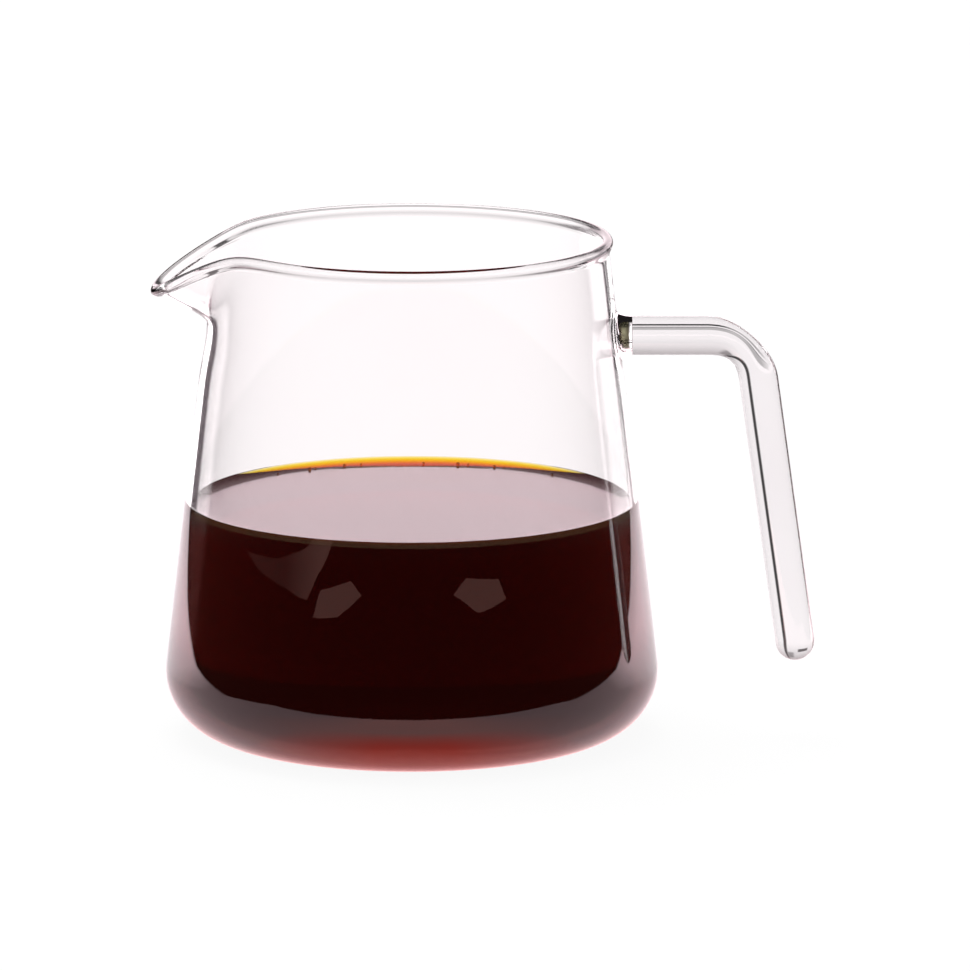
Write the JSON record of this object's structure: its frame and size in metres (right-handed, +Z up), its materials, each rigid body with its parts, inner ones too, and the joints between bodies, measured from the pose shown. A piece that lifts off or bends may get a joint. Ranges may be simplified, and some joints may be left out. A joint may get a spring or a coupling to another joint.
{
  "type": "glass coffee server carafe",
  "caption": "Clear glass coffee server with a pulled pouring spout, a fire-polished rim, a bent solid glass rod handle fused at one end, and black coffee in it.",
  "frame": {"origin": "centre of the underside of the base, on the vessel's axis", "axes": "+Z up along the vessel's axis, +X towards the handle, -X towards the spout"},
  "size_m": [0.148, 0.11, 0.1124],
  "materials": {
    "clear_glass": "polished",
    "fused_glass": "polished",
    "coffee": "gloss"
  },
  "bodies": {
    "root": {"vessel": "clear_glass", "handle_foot": "fused_glass", "handle_rod": "clear_glass", "coffee": "coffee"}
  },
  "joints": []
}
